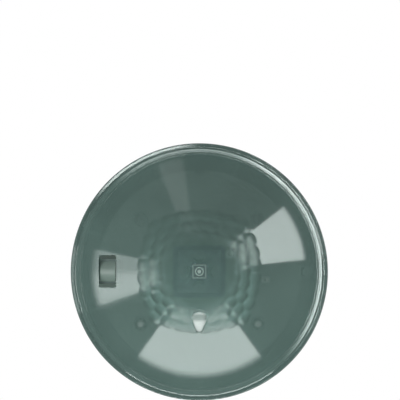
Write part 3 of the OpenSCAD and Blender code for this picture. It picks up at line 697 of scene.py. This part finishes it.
def square_pipe():
    """Stem, flange and frame of the pipe, as one block whose lower face is inset and pushed in."""
    bm = bmesh.new()
    bmesh.ops.create_cube(bm, size=1)
    bmesh.ops.scale(bm, vec=(PIPE_WIDTH, PIPE_WIDTH, PIPE_HEAD), verts=bm.verts)
    bmesh.ops.translate(bm, vec=(0, 0, PIPE_FACE + PIPE_HEAD / 2), verts=bm.verts)
    bottom = min(bm.faces, key=lambda face: face.calc_center_median().z)
    top = max(bm.faces, key=lambda face: face.calc_center_median().z)
    shrink(bm, bottom, PIPE_FRAME)
    shrink(bm, bottom, LEDGE)
    bmesh.ops.translate(bm, vec=(0, 0, PIPE_FLOOR), verts=bottom.verts)
    shrink(bm, top, STEM_INSET)
    shrink(bm, top, LEDGE)
    stem = pipe_high.z - top.calc_center_median().z
    bmesh.ops.translate(bm, vec=(0, 0, stem), verts=top.verts)
    return publish("pipe_frame", bm)


def make_room(piece, node):
    """Cuts a pocket for a small part that stands inside a clear piece."""
    low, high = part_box(node)
    gap = 2 * SLIP
    size = (high.x - low.x + gap, high.y - low.y + gap, high.z - low.z + 2 * gap)
    middle = ((low.x + high.x) / 2, (low.y + high.y) / 2, (low.z + high.z) / 2)
    cut(piece, block("room", size, middle, SLIP))


pipe = square_pipe()
make_room(pipe, "brightness_sensor")
dress(pipe, stands_for="light_pipe")
floor_z = PIPE_FACE + PIPE_FLOOR
ring_profile = [(r * MM, floor_z + z * MM) for r, z in RING_POINTS]
pipe_ring = lathe("pipe_ring", ring_profile, segments=48)
dress(pipe_ring)
dot_profile = arc(0, floor_z + DOT_SINK, DOT_RADIUS, start=-90, end=90, steps=10)
pipe_lens = lathe("pipe_lens", dot_profile, segments=32)
dress(pipe_lens)
print("light pipe face at", round(PIPE_FACE / MM, 2), "mm")

# %% [markdown]
# One shader paints both the bright frame and the dark floor of the pipe: where the surface
# lies deeper than the frame's face it turns dark, because there one looks down the clear
# stem at the sensor.

# %% Finish of the light pipe
DARK_FROM = PIPE_FACE + 0.3 * MM
DARK_TO = PIPE_FACE + 0.42 * MM
HAZE_SCALE = 900.0


def pipe_material():
    """Clear acrylic: pale at the frame, dark where one looks down the stem."""
    material, tree, shader, place = node_tree("pipe_acrylic")
    deep = span(tree, along(tree, place, "Z"), DARK_FROM, DARK_TO, 0, 1)
    haze = spread(tree, noise(tree, place, HAZE_SCALE), 0, 1)
    pale = blend(tree, haze, (0.34, 0.41, 0.4), (0.42, 0.5, 0.48))
    tree.links.new(blend(tree, deep, pale, (0.13, 0.17, 0.19)), shader.inputs["Base Color"])
    tree.links.new(span(tree, haze, 0, 1, 0.1, 0.2), shader.inputs["Roughness"])
    return material


smooth(pipe, angle=30)
pipe.data.materials.append(pipe_material())
for piece in (pipe_ring, pipe_lens):
    smooth(piece, angle=40)
    piece.data.materials.append(finishes["clear_plastic"])
print("pipe finished")

# %% [markdown]
# The light guide is a clear shield that leads the status lamp to the bell: a chevron edge
# towards the middle, a body that tapers outwards, and a round end. A flat outline on the board
# is extruded down to just above the bell's inner skin, and its sharp edges are bevelled. The
# status lamp stands inside its foot, so a pocket is cut for it.

# %% The light guide
guide_low, guide_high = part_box("light_guide")
GUIDE_HALF = 0.5 * (guide_high.x - guide_low.x)
GUIDE_TOP = guide_low.y
GUIDE_END = guide_high.y
GUIDE_GAP = 0.3 * MM
EDGE_RADIUS = 0.3 * MM
CHEVRON = 0.4
TAPER_START = 1.6
NOSE = 0.55
SHARP_RADIANS = 0.5


def shield():
    """Shield outline extruded from the board to just above the bell, with soft edges."""
    half = GUIDE_HALF
    nose = NOSE * half
    shoulder = GUIDE_TOP + CHEVRON * half
    waist = GUIDE_TOP + TAPER_START * half
    outline = [(0, GUIDE_TOP), (half, shoulder), (half, waist)]
    outline += arc(0, GUIDE_END - nose, nose, start=10, end=170, steps=8)
    outline += [(-half, waist), (-half, shoulder)]
    bm = bmesh.new()
    face = bm.faces.new([bm.verts.new((x, y, guide_high.z)) for x, y in outline])
    out = bmesh.ops.extrude_face_region(bm, geom=[face])
    for v in out["geom"]:
        if isinstance(v, bmesh.types.BMVert):
            v.co.z = -bell_depth(math.hypot(v.co.x, v.co.y), WALL) + GUIDE_GAP
    bmesh.ops.recalc_face_normals(bm, faces=bm.faces)
    round_edges(bm, [e for e in bm.edges if e.calc_face_angle(0) > SHARP_RADIANS], EDGE_RADIUS)
    return publish("shield_guide", bm)


def guide_material():
    """Clear acrylic, darker in a band between the chevron and the round end."""
    material, tree, shader, place = node_tree("guide_acrylic")
    y = along(tree, place, "Y")
    cloud = noise(tree, place, HAZE_SCALE)
    into = span(tree, y, GUIDE_TOP + 0.6 * MM, GUIDE_TOP + 1.4 * MM, 0, 1)
    out = span(tree, y, GUIDE_TOP + 3.0 * MM, GUIDE_TOP + 4.2 * MM, 0, 1)
    haze = blend(tree, cloud, (0.84, 0.94, 0.9), (0.92, 0.98, 0.96))
    dull = blend(tree, into, haze, (0.42, 0.5, 0.47))
    tree.links.new(blend(tree, out, dull, haze), shader.inputs["Base Color"])
    tree.links.new(spread(tree, cloud, 0.1, 0.2), shader.inputs["Roughness"])
    return material


guide = shield()
make_room(guide, "status_led")
smooth(guide, angle=35)
guide.data.materials.clear()
guide.data.materials.append(guide_material())
dress(guide, stands_for="light_guide")
print("light guide:", round((GUIDE_END - GUIDE_TOP) / MM, 1), "mm long")

# %% [markdown]
# The programming button lies in its window with a face that follows the slope of the bell. The
# face is also crowned along its length like a small rocker, so the end that faces the bottom
# box shows a bright curved band.

# %% The programming button
CROWN = 1.6 * MM
RECESS = bell_depth(-button_high.x) + button_low.z
BUTTON_EDGE = 0.3 * MM
bm = bmesh.new()
bmesh.ops.create_grid(bm, x_segments=8, y_segments=24, size=0.5)
button_size = (button_high.x - button_low.x, button_high.y - button_low.y, 1)
bmesh.ops.scale(bm, vec=button_size, verts=bm.verts)
walls = bmesh.ops.extrude_face_region(bm, geom=bm.faces[:])["geom"]
bmesh.ops.translate(bm, vec=(window_x, 0, button_high.z), verts=bm.verts)
for item in walls:
    if isinstance(item, bmesh.types.BMVert):
        bell = -bell_depth(math.hypot(item.co.x, item.co.y))
        item.co.z = max(button_low.z, bell + RECESS + CROWN * (item.co.y / button_high.y) ** 2)
bmesh.ops.recalc_face_normals(bm, faces=bm.faces)
button = publish("programming_button_skin", bm)
rounding = button.modifiers.new("rounding", "BEVEL")
rounding.width = BUTTON_EDGE
rounding.segments = 3
rounding.limit_method = "ANGLE"
smooth(button, angle=35)
button.data.materials.append(finishes["button_plastic"])
dress(button, "button", "programming_button")
print("button faces:", len(button.data.polygons))

# %% [markdown]
# Four screws with round heads hold the board. Each head is a dome turned from an arc. On the
# two heads towards +Y a highlight is painted pale in the middle of the dark plating, as a small
# light on a dark disc.
# The other two are a plain grey, since the photograph hardly shows them. The absolute value of
# the coordinate folds the four heads onto one, so one material serves all of them.

# %% The board screws
screw_low, screw_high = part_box("board_screws")
HEAD_RADIUS = 2.7 * MM
HEAD_HEIGHT = 2.14 * MM
SHANK_RADIUS = 1.2 * MM
HIGHLIGHT_RADII = (0.5 * MM, 1.7 * MM)
LIT_FROM = -2 * MM
LIT_TO = 2 * MM
BOARD_FACE = screw_low.z + HEAD_HEIGHT
screw_x = screw_high.x - HEAD_RADIUS
screw_y = screw_high.y - HEAD_RADIUS
dome_radius = (HEAD_RADIUS**2 + HEAD_HEIGHT**2) / (2 * HEAD_HEIGHT)
dome_edge = math.degrees(math.asin((dome_radius - HEAD_HEIGHT) / dome_radius))


def screw_material():
    """Dark plating with a painted highlight in the middle of the heads towards +Y, plain grey on
    the others.
    """
    material, tree, shader, place = node_tree("dark_screw")
    fold = vector_node(tree, "ABSOLUTE", place)["Vector"]
    reach = vector_node(tree, "DISTANCE", fold, (screw_x, screw_y, -screw_low.z))["Value"]
    # painted highlight: pale in the middle of each head towards +Y
    painted_highlight = span(tree, reach, *HIGHLIGHT_RADII, 1, 0)
    lit = span(tree, along(tree, place, "Y"), LIT_FROM, LIT_TO, 0, 1)
    streaks = noise(tree, place, 1200.0)
    plating = blend(tree, streaks, (0.004, 0.006, 0.006), (0.008, 0.011, 0.012))
    shaded = blend(tree, streaks, (0.1, 0.14, 0.13), (0.13, 0.17, 0.16))
    bright = blend(tree, painted_highlight, plating, (0.95, 1.0, 0.98))
    tree.links.new(blend(tree, lit, shaded, bright), shader.inputs["Base Color"])
    rough = spread(tree, noise(tree, place, HAZE_SCALE), 0.4, 0.5)
    tree.links.new(rough, shader.inputs["Roughness"])
    return material


head_finish = screw_material()
screw_profile = (
    arc(0, screw_low.z + dome_radius, dome_radius, start=-90, end=-dome_edge, steps=12)
    + [(SHANK_RADIUS, BOARD_FACE), (SHANK_RADIUS, screw_high.z), (0, screw_high.z)]
)
for name, side_x, side_y in (("a", -1, -1), ("b", 1, -1), ("c", -1, 1), ("d", 1, 1)):
    screw = lathe("board_screw_" + name, screw_profile, segments=32)
    for vertex in screw.data.vertices:
        vertex.co.x += side_x * screw_x
        vertex.co.y += side_y * screw_y
    smooth(screw, angle=40)
    screw.data.materials.append(head_finish)
    dress(screw, stands_for="board_screws")
print("screw heads:", round(2 * HEAD_RADIUS / MM, 1), "mm wide")

# %% [markdown]
# Guide and pipe would look dull behind two tinted skins, but the photograph shows them bright.
# So the faces of the inner skin over them get a nearly clear finish, and those of the outer
# skin over the guide a clearer one. The rest of the inner skin is dull, and the facets outside
# take the honeycomb's finish. Each face holds the index of its finish in the mesh's list.

# %% Matt facets and clear spots
SPOT_ALPHA = 0.06
OUTER_SPOT_ALPHA = 0.25
SPOT_MARGIN = 0.5 * MM
SPOT_TAPER = 0.6
POLISHED, MATT, INNER, CLEAR_SPOT, OUTER_SPOT = range(5)


def over_guide(x, y, margin):
    """True over the shield of the light guide."""
    half = GUIDE_HALF + margin
    straight = TAPER_START * GUIDE_HALF
    taper = (y - GUIDE_TOP - straight) / (GUIDE_END - GUIDE_TOP - straight)
    if taper > 0:
        half *= 1 - SPOT_TAPER * taper
    return abs(x) < half and GUIDE_TOP - margin + CHEVRON * abs(x) < y < GUIDE_END + margin


def over_pipe(x, y):
    """True over the square of the light pipe."""
    return max(abs(x), abs(y)) < PIPE_WIDTH / 2 + SPOT_MARGIN


finish_order = [
    smoke,
    smoke_matt,
    smoke_inner,
    smoked_material("clear_spot", rough=0.6, ior=1.2, alpha=SPOT_ALPHA),
    smoked_material("outer_spot", rough=0.4, ior=1.4, alpha=OUTER_SPOT_ALPHA),
]
lens.data.materials.clear()
for finish in finish_order:
    lens.data.materials.append(finish)
on_facet = lens.data.attributes["facet"].data
for face in lens.data.polygons:
    x, y, z = face.center
    r = math.hypot(x, y)
    if r < BEAD_RADIUS and z > -bell_depth(r) + WALL / 2:
        spot = over_guide(x, y, SPOT_MARGIN) or over_pipe(x, y)
        face.material_index = CLEAR_SPOT if spot else INNER
    elif over_guide(x, y, 0):
        face.material_index = OUTER_SPOT
    elif r < MATT_START or any(on_facet[v].value > 0.5 for v in face.vertices):
        face.material_index = MATT
    else:
        face.material_index = POLISHED
used = [face.material_index for face in lens.data.polygons]
print("faces by finish:", {finish.name: used.count(i) for i, finish in enumerate(finish_order)})

# %% [markdown]
# The studio is painted on the sky. For the camera the sky is plain white. For light that
# falls on matt surfaces it is one soft level. Only mirrors see the soft boxes: wedges with
# soft edges, each given by its azimuth and by its height above straight down. A cone mirrors
# a wedge of the sky as a wedge along its flank, so these angles are read straight off the
# reflections in the photograph.

# %% Sky helpers
world = bpy.data.worlds.new("studio")
scene.world = world
world.use_nodes = True
sky = world.node_tree
WORLD_FILL = 0.55


def math_node(operation, *values):
    """One arithmetic node of the sky."""
    return calculate(sky, operation, *values)


direction = sky.nodes.new("ShaderNodeTexCoord").outputs["Generated"]
east, north, up = (along(sky, direction, axis) for axis in "XYZ")
azimuth = math_node("DEGREES", math_node("ARCTAN2", north, east))
height = math_node("DEGREES", math_node("ARCCOSINE", math_node("MULTIPLY", up, -1.0)))
print("sky reads azimuth and height")


# %% [markdown]
# The first five boxes give the bright patches in the bell, with two of them on top of each
# other at the left. The last four lie nearer to straight down, where only flatter slopes mirror
# them. They draw the highlights of the flare next to the rim. The honeycomb near the apex has
# the same slopes, and its dull finish keeps these highlights away from there.

# %% Soft boxes in the sky
def soft_box(middle, half, low, high, strength, side_soft=1.5, low_soft=2.0, high_soft=2.0):
    """A wedge of light, in degrees. Azimuth 0 is +X and 90 is +Y, height 0 is straight down."""
    turned = math_node("WRAP", math_node("SUBTRACT", azimuth, middle), 180.0, -180.0)
    aside = math_node("ABSOLUTE", turned)
    side = span(sky, aside, half - side_soft / 2, half + side_soft / 2, 1, 0, "SMOOTHSTEP")
    rise = span(sky, height, low - low_soft, low, 0, 1, "SMOOTHSTEP")
    fall = span(sky, height, high, high + high_soft, strength, 0, "SMOOTHSTEP")
    return math_node("MULTIPLY", math_node("MULTIPLY", side, rise), fall)


boxes = [
    soft_box(-22, 15.5, 67, 73.6, 8.0, low_soft=5, high_soft=1),
    soft_box(176.5, 15.5, 69, 76, 3.5, low_soft=8, high_soft=3),
    soft_box(170, 9, 69, 76, 3.0, side_soft=9, low_soft=8, high_soft=3),
    soft_box(90, 36, 71, 82, 7.6, low_soft=8.5, high_soft=6),
    soft_box(-105, 6.5, 60, 73.6, 0.9, side_soft=4, low_soft=6),
    soft_box(-15, 48, 46, 49, 18.0, side_soft=30, low_soft=3, high_soft=1.5),
    soft_box(-88, 38, 46, 49, 6.0, side_soft=20, low_soft=3, high_soft=1.5),
    soft_box(-118, 22, 37, 41, 14.0, side_soft=14),
    soft_box(176.5, 15.5, 37, 41, 3.0),
]
total = boxes[0]
for box in boxes[1:]:
    total = math_node("ADD", total, box)
print("soft boxes in the sky:", len(boxes))

# %% [markdown]
# The Light Path node tells which kind of ray asks for the sky. Mirrors get the boxes over a
# backdrop that darkens upwards, matt surfaces get the fill, and the camera gets white. Where
# the camera looks through the cover, the ray has passed a transparent skin, and the white is
# turned down, or the page would shine through the detector.

# %% What each kind of ray sees
MIRROR_LOW = 0.5
MIRROR_HIGH = 0.2
BACKDROP_FADE = (84, 112)
BEHIND_COVER = 0.15


def choose(yes, when_yes, when_no):
    """The first value where yes is 1, the second where it is 0."""
    chosen = math_node("MULTIPLY", when_yes, yes)
    other = math_node("MULTIPLY", when_no, math_node("SUBTRACT", 1.0, yes))
    return math_node("ADD", chosen, other)


path = sky.nodes.new("ShaderNodeLightPath").outputs
backdrop = span(sky, height, *BACKDROP_FADE, MIRROR_LOW, MIRROR_HIGH, "SMOOTHSTEP")
level = choose(path["Is Glossy Ray"], math_node("ADD", total, backdrop), WORLD_FILL)
open_view = math_node("LESS_THAN", path["Transparent Depth"], 0.5)
seen = math_node("MAXIMUM", path["Is Camera Ray"], path["Is Transmission Ray"])
final = choose(seen, choose(open_view, 1.0, BEHIND_COVER), level)
background = sky.nodes["Background"]
background.inputs["Color"].default_value = (1, 1, 1, 1)
sky.links.new(final, background.inputs["Strength"])
print("fill for matt surfaces:", WORLD_FILL)

# %% [markdown]
# The floor lies far below the ceiling, plain and pale, and mirrors do not see it. Two real
# soft boxes give the matt surfaces a direction of light. They are hidden from mirrors, which
# already see the painted ones, and from the camera.

# %% Floor and lamps
FLOOR_DEPTH = 1.3
FLOOR_RADIUS = 2.5
bm = bmesh.new()
bmesh.ops.create_circle(bm, cap_ends=True, radius=FLOOR_RADIUS, segments=64)
bmesh.ops.translate(bm, vec=(0, 0, -FLOOR_DEPTH), verts=bm.verts)
floor = publish("floor", bm)
floor.data.materials.append(moulded("pale_floor", (0.8, 0.8, 0.8), 0.8))
floor.visible_glossy = False


def lamp(name, place, size, power):
    """A square soft box that faces the detector, with its size in metres and power in watts."""
    data = bpy.data.lights.new(name, "AREA")
    data.shape = "SQUARE"
    data.size = size
    data.energy = power
    piece = bpy.data.objects.new(name, data)
    piece.location = place
    piece.rotation_euler = (-Vector(place)).to_track_quat("-Z", "Y").to_euler()
    piece.visible_camera = False
    piece.visible_glossy = False
    piece.visible_transmission = False
    scene.collection.objects.link(piece)


lamp("box_front", (0.25, 0.75, -0.75), size=0.6, power=9.0)
lamp("box_side", (-0.8, -0.35, -0.35), size=0.5, power=4.0)
print("floor", FLOOR_DEPTH, "m below the ceiling")

# %% [markdown]
# The camera looks straight up at the detector from below, at the distance that gives the
# perspective of the photograph. The object sits low in the frame: most of that comes from
# the camera's shift, and the small rest from a slight tilt.

# %% Camera
LENS = 65.0
SENSOR = 36.0
FRAME_PX = 400
LIP_PX = 128.1
CENTRE_PX = (199.3, 271.5)
SHIFT_Y = 0.15
lip_low, lip_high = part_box("base_housing")
lip_radius = (lip_high.x - lip_low.x) / 2
focal_px = LENS / SENSOR * FRAME_PX
distance = focal_px * lip_radius / LIP_PX
camera_data = bpy.data.cameras.new("camera")
camera_data.lens = LENS
camera_data.sensor_width = SENSOR
camera_data.shift_y = SHIFT_Y
camera_data.shift_x = (FRAME_PX / 2 - CENTRE_PX[0]) / FRAME_PX
camera = bpy.data.objects.new("camera", camera_data)
camera.location = (0, 0, -RING_TOP - distance)
tilt = math.atan(((CENTRE_PX[1] - FRAME_PX / 2) - SHIFT_Y * FRAME_PX) / focal_px)
camera.rotation_euler = (math.pi + tilt, 0, 0)
scene.collection.objects.link(camera)
scene.camera = camera
print("camera", round(distance, 3), "m below the rim, tilt", round(math.degrees(tilt), 2))

# %% [markdown]
# The last cell keeps the plain view transform, so colours render as written.

# %% View transform
scene.view_settings.view_transform = "Standard"
